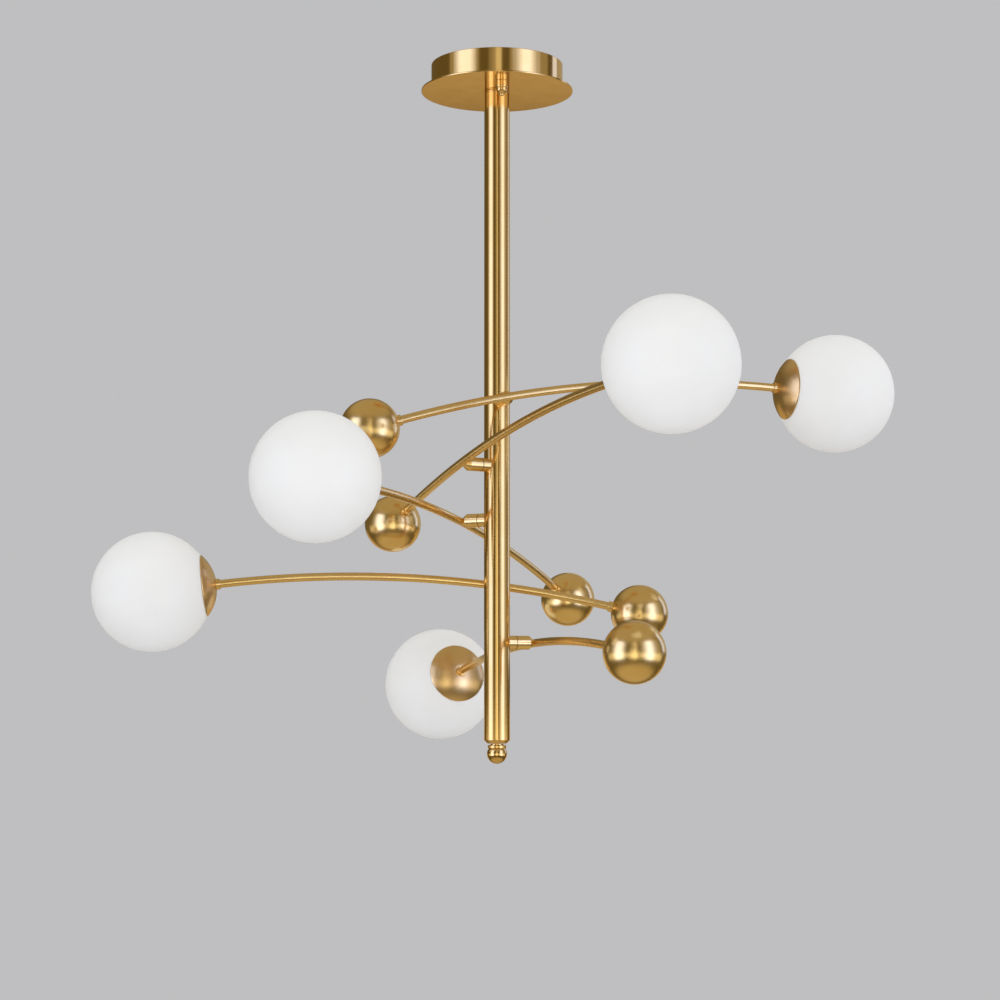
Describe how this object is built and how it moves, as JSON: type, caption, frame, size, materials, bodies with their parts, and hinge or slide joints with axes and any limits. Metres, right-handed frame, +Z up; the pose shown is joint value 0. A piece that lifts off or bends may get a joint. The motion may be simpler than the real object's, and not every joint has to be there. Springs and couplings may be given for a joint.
{
  "type": "branch chandelier",
  "caption": "Ceiling chandelier with a straight stem and curved arms, each with an opal globe at one end and a metal ball at the other, tilting on a swivel.",
  "frame": {"origin": "centre of the ceiling face, at the top of the canopy bracket", "axes": "+Z up out of the ceiling face, +X to the right and +Y to the back in the pictured view"},
  "size_m": [1.0108, 0.8691, 0.8728],
  "materials": {
    "polished_brass": "polished, clear lacquered",
    "satin_brass": "satin brushed, clear lacquered",
    "spun_brass": "spun, with fine turning lines",
    "zinc_steel": "zinc plated",
    "terminal_plastic": "matte, moulded",
    "wire": "smooth insulation",
    "washer": "matte",
    "lampholder_ceramic": "unglazed, smooth",
    "lamp_glass": "frosted, opaque",
    "opal_glass": "opal white, satin etched, opaque"
  },
  "bodies": {
    "fixture": {"ceiling_bracket": "zinc_steel", "bracket_studs": "zinc_steel", "terminal_block": "terminal_plastic", "canopy_cup": "polished_brass", "canopy_plate": "satin_brass", "cap_nuts": "polished_brass", "canopy_nut": "zinc_steel", "stem_top_plug": "polished_brass", "stem_tube": "polished_brass", "stem_end_cap": "polished_brass", "finial": "polished_brass", "wire_loom": "wire", "swivel_bases": "satin_brass", "swivel_nuts": "zinc_steel", "friction_washers": "washer"},
    "arm_1": {"swivel_head_1": "satin_brass", "arm_tube_1": "satin_brass", "arm_collars_1": "satin_brass", "end_ball_1": "satin_brass", "shade_dish_1": "spun_brass", "globe_clip_1": "zinc_steel", "lampholder_1": "lampholder_ceramic", "bulb_1": "lamp_glass", "globe_1": "opal_glass"},
    "arm_2": {"swivel_head_2": "satin_brass", "arm_tube_2": "satin_brass", "arm_collars_2": "satin_brass", "end_ball_2": "satin_brass", "shade_dish_2": "spun_brass", "globe_clip_2": "zinc_steel", "lampholder_2": "lampholder_ceramic", "bulb_2": "lamp_glass", "globe_2": "opal_glass"},
    "arm_3": {"swivel_head_3": "satin_brass", "arm_tube_3": "satin_brass", "arm_collars_3": "satin_brass", "end_ball_3": "satin_brass", "shade_dish_3": "spun_brass", "globe_clip_3": "zinc_steel", "lampholder_3": "lampholder_ceramic", "bulb_3": "lamp_glass", "globe_3": "opal_glass"},
    "arm_4": {"swivel_head_4": "satin_brass", "arm_tube_4": "satin_brass", "arm_collars_4": "satin_brass", "end_ball_4": "satin_brass", "shade_dish_4": "spun_brass", "globe_clip_4": "zinc_steel", "lampholder_4": "lampholder_ceramic", "bulb_4": "lamp_glass", "globe_4": "opal_glass"},
    "arm_5": {"swivel_head_5": "satin_brass", "arm_tube_5": "satin_brass", "arm_collars_5": "satin_brass", "end_ball_5": "satin_brass", "shade_dish_5": "spun_brass", "globe_clip_5": "zinc_steel", "lampholder_5": "lampholder_ceramic", "bulb_5": "lamp_glass", "globe_5": "opal_glass"}
  },
  "joints": [
    {"name": "arm_1_tilt", "type": "hinge", "parent": "fixture", "child": "arm_1", "pos_m": [0.01505, -0.05082, -0.4265], "axis": [0.284, -0.9588, 0], "range_deg": [-20, 7]},
    {"name": "arm_2_tilt", "type": "hinge", "parent": "fixture", "child": "arm_2", "pos_m": [-0.0447, -0.02848, -0.506], "axis": [-0.8434, -0.5373, 0], "range_deg": [-20, 10]},
    {"name": "arm_3_tilt", "type": "hinge", "parent": "fixture", "child": "arm_3", "pos_m": [-0.0459, 0.0265, -0.573], "axis": [-0.866, 0.5, 0], "range_deg": [-20, 5]},
    {"name": "arm_4_tilt", "type": "hinge", "parent": "fixture", "child": "arm_4", "pos_m": [-0.00231, 0.05295, -0.652], "axis": [-0.0436, 0.999, 0], "range_deg": [-20, 10]},
    {"name": "arm_5_tilt", "type": "hinge", "parent": "fixture", "child": "arm_5", "pos_m": [0.04897, 0.02028, -0.7245], "axis": [0.9239, 0.3827, 0], "range_deg": [-20, 10]}
  ]
}
